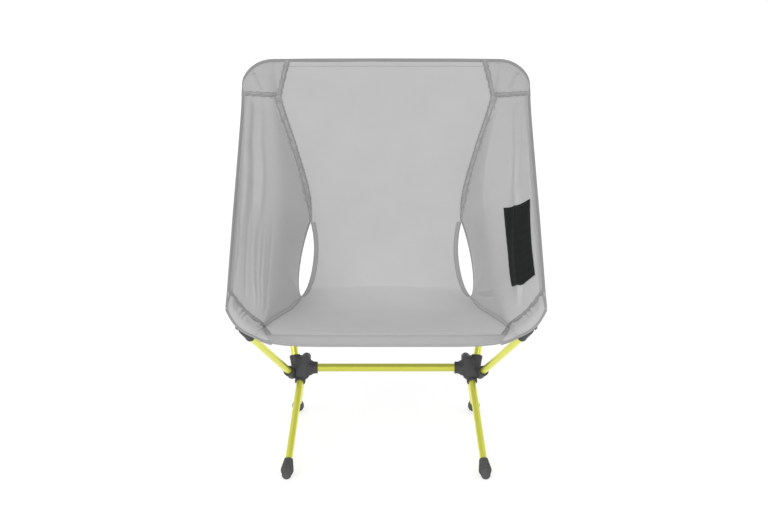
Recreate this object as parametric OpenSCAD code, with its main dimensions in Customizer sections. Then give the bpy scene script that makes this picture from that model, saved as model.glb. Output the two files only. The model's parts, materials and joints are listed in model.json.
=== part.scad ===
/* [Frame] */
// Outside diameter of the legs, arms and back poles
pole_od = 12.2; // [11:0.1:12.8]
// Wall of every pole
pole_wall = 0.9; // [0.7:0.1:1.2]
// Outside diameter of the crossbar
bar_od = 14; // [13:0.5:15]
// Height of the crossbar axis above the ground
bar_h = 140.4; // [138:0.2:143]
// Half of the crossbar length that shows between the two hubs
bar_reach = 119; // [115:1:123]
// Running clearance on the radius where a pole slides in its socket
slide_gap = 0.05; // [0.02:0.01:0.08]
// Elastic cord diameter
cord_d = 2.5; // [2:0.1:3]

/* [Hubs] */
// Wall of a socket collar around its pole
collar_wall = 3.2; // [2.8:0.1:3.6]
// Depth of the arm and back pole sockets
pole_socket = 22; // [20:1:24]
// Distance from the hub middle to the mouth of a leg socket
leg_mouth = 20; // [20:0.5:24]
// Distance from the hub middle to the bottom of a leg socket
leg_seat = 8; // [8:0.5:9]

/* [Feet and caps] */
// Length of a rubber foot along its leg
foot_len = 38; // [34:1:42]
// Largest radius of a rubber foot
foot_r = 10.8; // [9.5:0.1:11.5]
// Length of the plastic cap on a pole tip
cap_len = 52; // [40:1:56]
// Radius of that cap at its mouth
cap_r = 8.2; // [7.8:0.1:8.6]

/* [Seat fabric] */
// Thickness of the panels
cloth = 2; // [1.6:0.1:2.2]
// Thickness of hems, seams and bindings over the panels
hem_t = 3.4; // [3:0.1:4]
// Width of the side hems
hem_w = 12; // [8:1:16]
// Width of the seam between the back and a wing
seam_w = 11; // [8:1:14]
// How far the seat rises behind its front hem before it rolls down to it
front_roll = 14; // [8:1:16]
// How far the wings bow in towards the sitter
wing_bow = 20; // [14:1:24]
// Opening between back and wing, cut from the wing
open_wing = 17; // [12:1:18]
// Opening between back and wing, cut from the back
open_back = 7; // [4:1:9]

/* [Hidden] */
$fn = 64;

pole_r = pole_od / 2;
bore_r = pole_r - pole_wall;
socket_r = pole_r + slide_gap;
collar_r = pole_r + collar_wall;
cord_r = cord_d / 2;
passage_r = 2.8;
passage_turn_r = 3.3;
glue = 0.02;

// Hub: blob that joins the sockets, lips of the collars, flare round the crossbar, round boss above it
core_points = [[142, -9, 131], [142, 9, 131], [157, -7, 133], [154, 7, 147], [141, 2, 152]];
core_r = 9;
web_points = [[139, -5, 157], [139, 5, 157], [156.5, 6, 150.5], [134, 0, 141]];
web_r = 6.8;
lip = 0.6;
lip_len = 6;
bar_collar_r = bar_od / 2 + 3.5;
bar_collar_len = 7;
flare_r = bar_od / 2 + 7;
flare_len = 6;
flare_body_len = 12;
boss = [138.5, 0, bar_h + 17];
boss_r = 7.6;
boss_w = 21;
boss_ring = [4, 5.4];
boss_ring_depth = 0.5;
// Length of tube drawn past an end so that a bore opens cleanly
past = 1;

// Cap: round nose, then a taper to the sleeve and a rim at its mouth
nose_r = 4.6;
cap_taper_end = 17;
cap_bore_from = 15.9;
cap_walls = [0.9, 1.4];
cap_rim = [5, 8];

// Foot: ball, cone, waist and grooves, measured up from the ball's centre
ball_r = 8;
foot_cone = [7, 11];
foot_waist = [1.6, 20];
foot_wall = 1.5;
foot_bore_from = 11.9;
upper_grooves = [14, 18.5];
upper_groove_r = 0.9;
lower_grooves = [3, 6.5];
lower_groove_r = 0.8;
lower_groove_start = 1.4;
lower_groove_slope = 0.35;
ground_box = [80, 80, 20];

// How far the poles stop short of the tips, and the cords' ends from them
leg_short = 12;
arm_short = 16;
cord_short = 20;
ferrule_wall = 1;
split_at = 232;

// Right-hand frame lines: each pole's inner end and outer end
front_leg_top = [147.8, 0, bar_h - 9.9];
front_leg_tip = [166.5, -169, 7.2];
rear_leg_top = [145.5, 0, bar_h - 9.4];
rear_leg_tip = [163.2, 174, 7.2];
arm_mouth = [169, -25, bar_h + 2.6];
arm_tip = [237.5, -206, 276.4];
back_mouth = [159, 10, bar_h + 19.6];
back_tip = [231, 229, 617];

function unit(v) = v / norm(v);
front_leg_dir = unit(front_leg_tip - front_leg_top);
rear_leg_dir = unit(rear_leg_tip - rear_leg_top);
arm_dir = unit(arm_tip - arm_mouth);
back_dir = unit(back_tip - back_mouth);
front_leg_in = front_leg_top + leg_seat * front_leg_dir;
rear_leg_in = rear_leg_top + leg_seat * rear_leg_dir;
arm_in = arm_mouth - pole_socket * arm_dir;
back_in = back_mouth - pole_socket * back_dir;
bar_end = 144;

// Where the back pole divides, and how far its ferrule reaches into each half
back_split = back_mouth + split_at * back_dir;
split_gap = 0.1;
ferrule_in = 45;
// Where each elastic cord turns inside a hub, this far below its socket
turn_in = 3;
front_leg_turn = front_leg_in - turn_in * front_leg_dir;
rear_leg_turn = rear_leg_in - turn_in * rear_leg_dir;
arm_turn = arm_in - turn_in * arm_dir;
back_turn = back_in - turn_in * back_dir;

// Seat fabric outline, right side, from the top hem down the back and forward
seam_line = [[205, 233, 646], [190, 206, 572], [163, 181, 492], [140, 158, 410],
    [134, 135, 328], [146, 104, 252], [163, 36, 240], [180, -54, 251],
    [197, -145, 262], [212, -224, 264]];
middle_line = [[0, 233, 647], [0, 209, 572], [0, 184, 492], [0, 162, 410],
    [0, 139, 328], [0, 104, 250], [0, 36, 228], [0, -54, 230],
    [0, -148, 242], [0, -238, 252]];
edge_top = [257, 224, 600];
edge_front = [258.5, -200, 304];
open_from = 0.392;
open_to = 0.588;
seam_gap = 1.2;
seam_half = seam_w / 2;

// The fold between back and seat: the point of the middle line it runs through, and how soft it is
fold_at = 5;
fold_softness = 0.3;
// Where the front roll begins and is highest
roll_from = 0.8;
roll_top = 0.93;

// Reach of a corner patch on to the back, and its ends along the seam
patch_in = 14;
patch_from = 0.004;
patch_to = 0.092;
// Bindings of the side opening: their widths and how far they stop short of its corners
back_binding_w = 7;
wing_binding_w = 5;
binding_short = 0.015;
overhang = 0.6;
// Pocket sleeves over the pole tips: wall, end wall, inside radius and reach along the pole
sleeve_wall = 1.2;
sleeve_beyond = 1.6;
top_sleeve_r = 10.4;
top_sleeve_len = 38;
top_sleeve_cheek = 10.5;
front_sleeve_r = 7.6;
front_sleeve_len = 22;
front_sleeve_cheek = 0.5;
// A label lies on the wing between these corners, as (across, along)
label_outer = [[0.905, 0.512], [0.878, 0.83]];
label_inner = [[0.655, 0.467], [0.53, 0.79]];
face_gap = 0.1;

// Smooth curve through points p, with t from 0 to 1 along them, folded more sharply at point number fold
function spline(p, t, fold = -1) =
    let (
        n = len(p) - 1,
        x = min(max(t, 0), 1) * n,
        i = min(floor(x), n - 1),
        w = x - i,
        b = p[i],
        c = p[i + 1],
        a = i > 0 ? p[i - 1] : 2 * b - c,
        d = i + 2 <= n ? p[i + 2] : 2 * c - b,
        leaving = (c - a) / 2 * (i == fold ? fold_softness : 1),
        arriving = (d - b) / 2 * (i + 1 == fold ? fold_softness : 1),
        blend = w * w * (3 - 2 * w)
    )
    b + (c - b) * blend + leaving * w * (1 - w) * (1 - w) - arriving * w * w * (1 - w);

// 0 at the ends of the side opening, 1 at its widest
function opening(t) =
    t > open_from && t < open_to
        ? pow(sin(180 * (t - open_from) / (open_to - open_from)), 0.8) : 0;

// 0 up to roll_from, 1 at roll_top and 0 again at the front hem
function roll(t) =
    t < roll_from ? 0
    : t < roll_top ? pow(sin(90 * (t - roll_from) / (roll_top - roll_from)), 2)
    : cos(90 * (min(t, 1) - roll_top) / (1 - roll_top));

// Point on the back and seat panel: s from -1 to 1 across, t from the top hem to the front hem
function panel(s, t) =
    let (
        seam = spline(seam_line, t),
        middle = spline(middle_line, t, fold_at) + [0, 0, front_roll * roll(t)],
        power = 2.6 + 5 * pow(min(max((t - 0.85) / 0.15, 0), 1), 2),
        keep = 1 - pow(min(abs(s), 1), power),
        half = seam[0] - seam_gap - open_back * opening(t)
    )
    [s * half, seam[1] + (middle[1] - seam[1]) * keep, seam[2] + (middle[2] - seam[2]) * keep];

// Point on the right wing: s from the seam to the free edge, t as for the panel
function wing(s, t) =
    let (
        seam = spline(seam_line, t) + [seam_gap + open_wing * opening(t), 0, 0],
        edge = edge_top + (edge_front - edge_top) * t,
        bow = wing_bow * pow(sin(180 * min(max(t, 0), 1)), 0.8) * 4 * s * (1 - s),
        top = seam_line[0],
        round = pow(max(0, 1 - t / 0.14), 2),
        corner_x = (edge_top[0] - top[0]) * (sin(90 * s) - s),
        corner_z = (top[2] - edge_top[2]) * (cos(90 * s) - (1 - s))
    )
    seam + (edge - seam) * s + bow * unit([-0.86, -0.5, 0.1]) + round * [corner_x, 0, corner_z];

function surface_normal(f, a, b) =
    let (h = 0.01, a0 = max(a - h, 0), a1 = min(a + h, 1), b0 = max(b - h, 0), b1 = min(b + h, 1))
    unit(cross(f(a1, b) - f(a0, b), f(a, b1) - f(a, b0)));

// Closed sheet over the surface f(a, b), from the offset low to the offset high along its normal
module sheet(f, across, along, low, high) {
    rows = along + 1;
    cols = across + 1;
    layer = rows * cols;
    points = [for (offset = [high, low], j = [0:along], i = [0:across])
        let (a = i / across, b = j / along) f(a, b) + offset * surface_normal(f, a, b)];
    function at(i, j, k) = k * layer + j * cols + i;
    top = [for (j = [0:along - 1], i = [0:across - 1])
        each [[at(i, j, 0), at(i, j + 1, 0), at(i + 1, j, 0)],
            [at(i + 1, j, 0), at(i, j + 1, 0), at(i + 1, j + 1, 0)]]];
    bottom = [for (j = [0:along - 1], i = [0:across - 1])
        each [[at(i, j, 1), at(i + 1, j, 1), at(i, j + 1, 1)],
            [at(i + 1, j, 1), at(i + 1, j + 1, 1), at(i, j + 1, 1)]]];
    ends = [for (i = [0:across - 1])
        each [[at(i, 0, 0), at(i + 1, 0, 0), at(i, 0, 1)],
            [at(i + 1, 0, 0), at(i + 1, 0, 1), at(i, 0, 1)],
            [at(i, along, 0), at(i, along, 1), at(i + 1, along, 0)],
            [at(i + 1, along, 0), at(i, along, 1), at(i + 1, along, 1)]]];
    sides = [for (j = [0:along - 1])
        each [[at(0, j, 0), at(0, j, 1), at(0, j + 1, 0)],
            [at(0, j + 1, 0), at(0, j, 1), at(0, j + 1, 1)],
            [at(across, j, 0), at(across, j + 1, 0), at(across, j, 1)],
            [at(across, j + 1, 0), at(across, j + 1, 1), at(across, j, 1)]]];
    polyhedron(points, concat(top, bottom, ends, sides));
}

// Points a given distance in from an edge of the panel or the wing
function panel_in(width, t) = panel(1 - width / (spline(seam_line, t)[0]), t);
function wing_span(t) = norm(wing(1, t) - wing(0, t));
function wing_in(width, t) = wing(width / wing_span(t), t);
function wing_out(width, t) = wing(1 - width / wing_span(t), t);
function over_seam(a, t) =
    a < 0.5 ? panel_in(seam_half * (1 - 2 * a), t) : wing_in(seam_half * (2 * a - 1), t);

module right() {
    children();
}
module left() {
    mirror([1, 0, 0]) children();
}

// Places children standing on the point a, with their Z axis towards b
module along(a, b) {
    d = b - a;
    translate(a)
        rotate([0, acos(d[2] / norm(d)), atan2(d[1], d[0])])
            children();
}

module rod(a, b, r) {
    along(a, b) cylinder(h = norm(b - a), r = r);
}

module pole(a, b) {
    length = norm(b - a);
    color("#c6cc3c")
        along(a, b)
            difference() {
                cylinder(h = length, r = pole_r);
                translate([0, 0, -past]) cylinder(h = length + 2 * past, r = bore_r);
            }
}

// Way for a cord between two sockets, with room at its turns
module passage(path) {
    for (i = [1:3])
        rod(path[i - 1], path[i], passage_r);
    for (i = [1:2])
        translate(path[i]) sphere(r = passage_turn_r, $fn = 24);
}

// A socket collar from inside the hub to its mouth, with a raised lip
module collar(a, mouth, r) {
    length = norm(mouth - a);
    along(a, mouth) {
        cylinder(h = length, r = r - lip);
        translate([0, 0, length - lip_len]) cylinder(h = lip_len, r = r);
    }
}

module hub_core() {
    hull() {
        for (p = core_points)
            translate(p) sphere(r = core_r, $fn = 24);
        for (p = web_points)
            translate(p) sphere(r = web_r, $fn = 24);
    }
}

module hub() {
    bar_start = [bar_reach, 0, bar_h];
    color("#3a3a3c")
        difference() {
            union() {
                hub_core();
                collar(front_leg_in, front_leg_top + leg_mouth * front_leg_dir, collar_r);
                collar(rear_leg_in, rear_leg_top + leg_mouth * rear_leg_dir, collar_r);
                collar(arm_in, arm_mouth, collar_r);
                collar(back_in, back_mouth, collar_r + 0.4);
                translate(bar_start) rotate([0, 90, 0]) {
                    cylinder(h = bar_collar_len, r = bar_collar_r);
                    translate([0, 0, bar_collar_len - 0.5])
                        cylinder(h = flare_len, r1 = bar_collar_r, r2 = flare_r, $fn = 48);
                    translate([0, 0, bar_collar_len + flare_len - 0.6])
                        cylinder(h = flare_body_len, r = flare_r);
                }
                translate(boss) rotate([90, 0, 0]) cylinder(h = boss_w, r = boss_r, center = true);
            }
            rod(front_leg_in, front_leg_top + (leg_mouth + 5) * front_leg_dir, socket_r);
            rod(rear_leg_in, rear_leg_top + (leg_mouth + 5) * rear_leg_dir, socket_r);
            rod(arm_in, arm_mouth + 5 * arm_dir, socket_r);
            rod(back_in, back_mouth + 5 * back_dir, socket_r);
            translate([bar_reach - 1, 0, bar_h]) rotate([0, 90, 0])
                cylinder(h = bar_end - bar_reach + 1, r = bar_od / 2 + glue);
            passage([front_leg_in, front_leg_turn, arm_turn, arm_in]);
            passage([rear_leg_in, rear_leg_turn, back_turn, back_in]);
            for (end = [-1, 1])
                translate([boss[0], end * boss_w / 2, boss[2]]) rotate([90, 0, 0])
                    difference() {
                        cylinder(h = 2 * boss_ring_depth, r = boss_ring[1], center = true);
                        cylinder(h = 4 * boss_ring_depth, r = boss_ring[0], center = true);
                    }
        }
}

module crossbar() {
    color("#c6cc3c")
        rotate([0, 90, 0]) translate([-bar_h, 0, 0])
            difference() {
                cylinder(h = 2 * bar_end - 0.4, r = bar_od / 2, center = true);
                cylinder(h = 2 * (bar_end + past), r = bar_od / 2 - past, center = true);
            }
}

// Rings of points round a path, each square to the path or mitred at a bend
function tube_rings(path, last, i) =
    i == len(path) ? [] :
    let (
        before = unit(path[i] - path[i - 1]),
        after = i + 1 < len(path) ? unit(path[i + 1] - path[i]) : before,
        plane = unit(before + after),
        ring = [for (q = last) q + before * (((path[i] - q) * plane) / (before * plane))]
    )
    concat([ring], tube_rings(path, ring, i + 1));

// Closed tube of radius r along the path
module tube(path, r, sides) {
    start = unit(path[1] - path[0]);
    x = unit(cross(start, [1, 0, 0]));
    y = cross(start, x);
    first = [for (k = [0:sides - 1]) path[0] + r * (cos(360 * k / sides) * x + sin(360 * k / sides) * y)];
    rings = concat([first], tube_rings(path, first, 1));
    last = len(path) - 1;
    walls = [for (i = [0:last - 1], k = [0:sides - 1])
        let (n = (k + 1) % sides, low = i * sides, high = low + sides)
        each [[low + k, high + k, low + n], [low + n, high + k, high + n]]];
    ends = [[for (k = [0:sides - 1]) k], [for (k = [sides - 1:-1:0]) last * sides + k]];
    polyhedron([for (ring = rings) each ring], concat(walls, ends));
}

// Elastic cord through two poles and the hub between them
module cord(leg_end, leg_turn, pole_turn, pole_end) {
    color("#2c2c2e") tube([leg_end, leg_turn, pole_turn, pole_end], cord_r, 8);
}

module front_cord() {
    cord(front_leg_tip - cord_short * front_leg_dir, front_leg_turn,
        arm_turn, arm_tip - cord_short * arm_dir);
}

module rear_cord() {
    cord(rear_leg_tip - cord_short * rear_leg_dir, rear_leg_turn,
        back_turn, back_tip - cord_short * back_dir);
}

module front_leg() {
    pole(front_leg_in, front_leg_tip - leg_short * front_leg_dir);
}

module rear_leg() {
    pole(rear_leg_in, rear_leg_tip - leg_short * rear_leg_dir);
}

module arm() {
    pole(arm_in, arm_tip - arm_short * arm_dir);
}

module back_pole_lower() {
    pole(back_in, back_split);
}

module back_pole_upper() {
    pole(back_split + split_gap * back_dir, back_tip - arm_short * back_dir);
}

module ferrule() {
    length = 2 * ferrule_in;
    color("#b9bdc2")
        along(back_split - ferrule_in * back_dir, back_tip)
            difference() {
                cylinder(h = length, r = bore_r - slide_gap);
                translate([0, 0, -past]) cylinder(h = length + 2 * past, r = bore_r - ferrule_wall);
            }
}

// Rubber foot: a ball end that widens to a cone, two grooves, then a sleeve up the leg
module foot(tip, dir) {
    color("#505050")
        difference() {
            along(tip, tip - dir)
                difference() {
                    rotate_extrude()
                        difference() {
                            union() {
                                intersection() {
                                    circle(r = ball_r);
                                    translate([0, -ball_r]) square([ball_r, 2 * ball_r]);
                                }
                                polygon([[0, 0], [ball_r, 0], [foot_r, foot_cone[0]], [foot_r, foot_cone[1]],
                                    [foot_r - foot_waist[0], foot_waist[1]],
                                    [pole_r + foot_wall, foot_len - ball_r], [0, foot_len - ball_r]]);
                            }
                            for (h = upper_grooves)
                                translate([foot_r - 0.5, h]) circle(r = upper_groove_r, $fn = 24);
                            for (h = lower_grooves)
                                translate([ball_r + lower_groove_start
                                    + (h - lower_grooves[0]) * lower_groove_slope, h])
                                    circle(r = lower_groove_r, $fn = 24);
                        }
                    translate([0, 0, foot_bore_from]) cylinder(h = foot_len, r = pole_r + glue);
                }
            translate([tip[0] - ground_box[0] / 2, tip[1] - ground_box[1] / 2, -ground_box[2]])
                cube(ground_box);
        }
}

// Plastic cap on a pole tip: a sleeve that narrows to a round nose
module cap(tip, dir) {
    color("#333335")
        along(tip, tip - dir)
            difference() {
                rotate_extrude()
                    union() {
                        translate([0, nose_r])
                            intersection() {
                                circle(r = nose_r);
                                translate([0, -nose_r]) square([nose_r, 2 * nose_r]);
                            }
                        polygon([[0, nose_r], [nose_r, nose_r], [pole_r + cap_walls[0], cap_taper_end],
                            [pole_r + cap_walls[1], cap_len - cap_rim[1]], [cap_r, cap_len - cap_rim[0]],
                            [cap_r, cap_len], [0, cap_len]]);
                    }
                translate([0, 0, cap_bore_from]) cylinder(h = cap_len, r = pole_r + glue);
            }
}

module centre_panel() {
    color("#bfbfbf")
        sheet(function(a, b) panel(1 - 2 * a, b), 20, 36, -cloth / 2, cloth / 2);
}

module wing_panel() {
    color("#b4b4b4") sheet(function(a, b) wing(1 - a, b), 9, 30, -cloth / 2, cloth / 2);
}

module seam_tape() {
    for (part = [[0.002, open_from + 0.004], [open_to - 0.004, 0.998]])
        color("#9a9a9a")
            sheet(function(a, b) over_seam(1 - a, part[0] + (part[1] - part[0]) * b),
                4, 16, -hem_t / 2, hem_t / 2);
}

module wing_hem() {
    color("#a4a4a4")
        sheet(function(a, b) wing_out(hem_w * a - overhang, 0.1 + 0.89 * b), 2, 24, -hem_t / 2, hem_t / 2);
}

function binding_at(b) = open_from + binding_short + (open_to - open_from - 2 * binding_short) * b;

module back_binding() {
    color("#8c8c8c")
        sheet(function(a, b) panel_in(back_binding_w * a - overhang, binding_at(b)),
            2, 14, -hem_t / 2, hem_t / 2);
}

module wing_binding() {
    color("#8c8c8c")
        sheet(function(a, b) wing_in(wing_binding_w * (1 - a) - overhang, binding_at(b)),
            2, 14, -hem_t / 2, hem_t / 2);
}

module top_hem() {
    color("#a8a8a8")
        sheet(function(a, b) panel(0.9 - 1.8 * a, 0.024 * b), 20, 2, -hem_t / 2, hem_t / 2);
}

module front_hem() {
    color("#a8a8a8")
        sheet(function(a, b) panel(0.96 - 1.92 * a, 0.962 + 0.038 * b), 20, 2, -hem_t / 2, hem_t / 2);
}

// Reinforcing patch on the face of each top corner: a fifth of it on the back, the rest on the wing
function top_patch_at(a, b) =
    let (t = patch_from + (patch_to - patch_from) * b)
    a < 0.2 ? panel_in(patch_in * (1 - a / 0.2), t) : wing((a - 0.2) / 0.8, t);

module top_patch() {
    color("#adadad")
        sheet(function(a, b) top_patch_at(1 - a, b), 10, 6, cloth / 2 + face_gap, cloth / 2 + 1.3);
}

// Pocket sleeve over a pole tip: a channel with its round wall on one side, closed beyond the tip
module sleeve(tip, dir, wall_side, r, length, cheek) {
    across = unit(cross(wall_side, dir));
    outwards = cross(dir, across);
    outer = r + sleeve_wall;
    turn = [for (row = [0:2]) [across[row], outwards[row], dir[row], tip[row]]];
    color("#a2a2a2")
        multmatrix(concat(turn, [[0, 0, 0, 1]]))
            difference() {
                translate([0, 0, -length]) {
                    intersection() {
                        cylinder(h = length + sleeve_beyond, r = outer);
                        translate([-outer, 0, 0]) cube([2 * outer, outer, length + sleeve_beyond]);
                    }
                    translate([-outer, -cheek, 0]) cube([2 * outer, cheek + 0.01, length + sleeve_beyond]);
                }
                translate([0, 0, -length - 1]) {
                    cylinder(h = length + 1.5, r = r);
                    translate([-r, -cheek - 1, 0]) cube([2 * r, cheek + 1, length + 1.5]);
                }
            }
}

// Pocket behind a top corner: open below and towards the fabric
module top_pocket() {
    sleeve(back_tip, back_dir, [0, 1, 0], top_sleeve_r, top_sleeve_len, top_sleeve_cheek);
}

// Pocket under a front corner: open below the arm's cap
module front_pocket() {
    sleeve(arm_tip, arm_dir, [0, back_dir[1], back_dir[2]],
        front_sleeve_r, front_sleeve_len, front_sleeve_cheek);
}

// Woven label sewn inside the right wing, between an outer and an inner edge
function label_at(a, b) =
    let (
        outer = label_outer[0] + (label_outer[1] - label_outer[0]) * b,
        inner = label_inner[0] + (label_inner[1] - label_inner[0]) * b,
        place = outer + (inner - outer) * a
    )
    wing(place[0], place[1]);

module side_label() {
    color("#1c1c1e")
        sheet(function(a, b) label_at(a, b), 5, 10, cloth / 2 + face_gap, cloth / 2 + 0.9);
}

left() hub();  // left_hub
right() hub();  // right_hub
crossbar();
left() front_cord();  // left_front_cord
right() front_cord();  // right_front_cord
left() rear_cord();  // left_rear_cord
right() rear_cord();  // right_rear_cord
left() front_leg();  // left_front_leg
right() front_leg();  // right_front_leg
left() rear_leg();  // left_rear_leg
right() rear_leg();  // right_rear_leg
left() foot(front_leg_tip, front_leg_dir);  // left_front_foot
right() foot(front_leg_tip, front_leg_dir);  // right_front_foot
left() foot(rear_leg_tip, rear_leg_dir);  // left_rear_foot
right() foot(rear_leg_tip, rear_leg_dir);  // right_rear_foot
left() arm();  // left_arm
right() arm();  // right_arm
left() cap(arm_tip, arm_dir);  // left_arm_cap
right() cap(arm_tip, arm_dir);  // right_arm_cap
left() back_pole_lower();  // left_back_pole_lower
right() back_pole_lower();  // right_back_pole_lower
left() ferrule();  // left_ferrule
right() ferrule();  // right_ferrule
left() back_pole_upper();  // left_back_pole_upper
right() back_pole_upper();  // right_back_pole_upper
left() cap(back_tip, back_dir);  // left_back_cap
right() cap(back_tip, back_dir);  // right_back_cap
centre_panel();
left() wing_panel();  // left_wing
right() wing_panel();  // right_wing
left() seam_tape();  // left_seam
right() seam_tape();  // right_seam
left() wing_hem();  // left_wing_hem
right() wing_hem();  // right_wing_hem
left() back_binding();  // left_back_binding
right() back_binding();  // right_back_binding
left() wing_binding();  // left_wing_binding
right() wing_binding();  // right_wing_binding
top_hem();
front_hem();
left() top_patch();  // left_top_patch
right() top_patch();  // right_top_patch
left() top_pocket();  // left_top_pocket
right() top_pocket();  // right_top_pocket
left() front_pocket();  // left_front_pocket
right() front_pocket();  // right_front_pocket
right() side_label();
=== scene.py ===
import json
import math
import bpy
import numpy as np
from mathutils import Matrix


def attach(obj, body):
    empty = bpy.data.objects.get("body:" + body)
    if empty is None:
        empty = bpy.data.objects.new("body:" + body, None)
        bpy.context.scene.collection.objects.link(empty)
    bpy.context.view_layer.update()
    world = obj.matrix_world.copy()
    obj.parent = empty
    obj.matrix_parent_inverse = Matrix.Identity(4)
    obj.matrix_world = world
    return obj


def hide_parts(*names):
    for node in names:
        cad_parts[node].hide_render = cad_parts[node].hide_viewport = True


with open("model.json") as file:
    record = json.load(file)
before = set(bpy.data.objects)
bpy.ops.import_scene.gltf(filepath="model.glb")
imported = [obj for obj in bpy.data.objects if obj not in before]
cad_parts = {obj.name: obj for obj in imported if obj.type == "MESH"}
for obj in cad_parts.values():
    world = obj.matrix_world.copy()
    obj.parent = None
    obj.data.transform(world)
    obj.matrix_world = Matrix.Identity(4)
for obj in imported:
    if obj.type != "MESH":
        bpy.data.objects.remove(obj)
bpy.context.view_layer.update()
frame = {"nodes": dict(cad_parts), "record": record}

SIDES = {"left": -1.0, "right": 1.0}

# ---------------------------------------------------------------- seat shape
# Right-hand seam between panel and wing, and the panel's middle line, from the top hem to the front hem
SEAM = np.array([
    (0.205, 0.233, 0.646), (0.190, 0.206, 0.572), (0.163, 0.181, 0.492), (0.140, 0.158, 0.410),
    (0.134, 0.135, 0.328), (0.146, 0.104, 0.252), (0.163, 0.036, 0.240), (0.180, -0.054, 0.251),
    (0.197, -0.145, 0.262), (0.212, -0.224, 0.264)])
MIDDLE = np.array([
    (0, 0.233, 0.647), (0, 0.209, 0.572), (0, 0.184, 0.492), (0, 0.162, 0.410),
    (0, 0.140, 0.330), (0, 0.108, 0.2575), (0, 0.036, 0.2335), (0, -0.054, 0.233),
    (0, -0.148, 0.242), (0, -0.238, 0.252)])
# Ends of the wing's free edge, and how far and which way the wing bows between its seam and that edge
EDGE_TOP = np.array((0.257, 0.224, 0.600))
EDGE_FRONT = np.array((0.2585, -0.200, 0.304))
WING_BOW = 0.023
BOW_DIRECTION = np.array((-0.86, -0.5, 0.1)) / np.linalg.norm((-0.86, -0.5, 0.1))
# Side opening: where it runs along the seam, and how far it cuts into the wing and into the back
OPEN_FROM, OPEN_TO = 0.392, 0.588
OPEN_WING, OPEN_BACK = 0.017, 0.007
# How far the cloth over the front pocket hangs down
POCKET_DROOP = np.array((0.0042, -0.0018, -0.0060))
# The fold between back and seat: at which point of MIDDLE, and how rounded
FOLD_AT, FOLD_SOFTNESS = 5, 0.2
# The roll at the front of the seat: its height, its push to the front, where it starts and its top
FRONT_ROLL, FRONT_PUSH, ROLL_FROM, ROLL_TOP = 0.021, 0.022, 0.84, 0.95
CLOTH = 0.0005
SEAM_ON_PANEL, SEAM_ON_WING = 0.0055, 0.0185
# Sizes of the panel's half and of a wing that short wrinkles are laid out on
PANEL_HALF, PANEL_LENGTH = 0.17, 0.767
WING_WIDTH, WING_LENGTH = 0.2, 0.765

# The ridge that runs down each wing from the top pocket to the front pocket, as (along, across)
CREASE = {
    "left": ((0, 0.13, 0.26, 0.43, 0.59, 0.77, 0.87, 0.92, 1),
             (0.15, 0.37, 0.56, 0.60, 0.57, 0.41, 0.17, 0.08, 0.08)),
    "right": ((0, 0.18, 0.40, 0.60, 0.77, 0.87, 0.92, 1),
              (0.12, 0.30, 0.50, 0.50, 0.38, 0.17, 0.08, 0.08)),
}



def unit(v):
    v = np.asarray(v, float)
    return v / np.maximum(np.linalg.norm(v, axis=-1, keepdims=True), 1e-12)


def arrays(a, b):
    """Two numbers or arrays as float arrays of one shape."""
    return np.broadcast_arrays(np.asarray(a, float), np.asarray(b, float))


def unit_grid(columns, rows, start=0):
    """Places across, from start to 1, and along, from 0 to 1."""
    return np.meshgrid(np.linspace(start, 1, columns), np.linspace(0, 1, rows), indexing="xy")


def pole_end(pole, cap, joint):
    """End of a pole's cap and the direction of the pole, from the CAD nodes."""
    joints = frame["record"]["behaviour"]["joints"]
    direction = unit(next(row["axis"] for row in joints if row["name"] == joint))
    pole_points, cap_points = (np.array([vertex.co[:] for vertex in frame["nodes"][name].data.vertices])
                               for name in (pole, cap))
    middle = pole_points.mean(axis=0)
    reach = ((cap_points - middle) @ direction).max()
    return middle + reach * direction, direction


ARM_TIP, ARM_DIRECTION = pole_end("right_arm", "right_arm_cap", "right_arm_pull")
BACK_TIP, BACK_DIRECTION = pole_end("right_back_pole_upper", "right_back_cap", "right_back_pole_pull")


def spline(points, t, fold=-1):
    """Smooth curve through points, with t from 0 to 1 along them, folded more sharply at point fold."""
    last = len(points) - 1
    x = np.clip(np.asarray(t, float), 0, 1) * last
    i = np.minimum(x.astype(int), last - 1)
    w = (x - i)[..., None]
    before = np.where((i > 0)[..., None], points[np.maximum(i - 1, 0)], 2 * points[0] - points[1])
    after = np.where((i + 2 <= last)[..., None], points[np.minimum(i + 2, last)], 2 * points[-1] - points[-2])
    b, c = points[i], points[i + 1]
    leaving = (c - before) / 2 * np.where(i == fold, FOLD_SOFTNESS, 1.0)[..., None]
    arriving = (after - b) / 2 * np.where(i + 1 == fold, FOLD_SOFTNESS, 1.0)[..., None]
    return b + (c - b) * w * w * (3 - 2 * w) + leaving * w * (1 - w) * (1 - w) - arriving * w * w * (1 - w)


def opening(t):
    """0 outside the side opening and at its ends, 1 at its widest."""
    x = (np.asarray(t, float) - OPEN_FROM) / (OPEN_TO - OPEN_FROM)
    return np.where((x > 0) & (x < 1), np.sin(np.pi * np.clip(x, 1e-6, 1 - 1e-6)) ** 0.8, 0.0)


def roll(t):
    """0 up to the front roll, 1 on top of it and 0 again at the front hem."""
    rise = np.sin(np.pi / 2 * np.clip((t - ROLL_FROM) / (ROLL_TOP - ROLL_FROM), 0, 1)) ** 2
    fall = np.cos(np.pi / 2 * np.clip((t - ROLL_TOP) / (1 - ROLL_TOP), 0, 1))
    return np.where(t < ROLL_TOP, rise, fall)


def smooth(x):
    """0 up to x = 0, 1 from x = 1, and a soft step between."""
    x = np.clip(x, 0, 1)
    return x * x * (3 - 2 * x)


def through(places, values, t, reach=0.05):
    """Smooth curve through values at places along t."""
    return np.mean([np.interp(t + reach * k / 4, places, values) for k in range(-4, 5)], axis=0)


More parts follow.
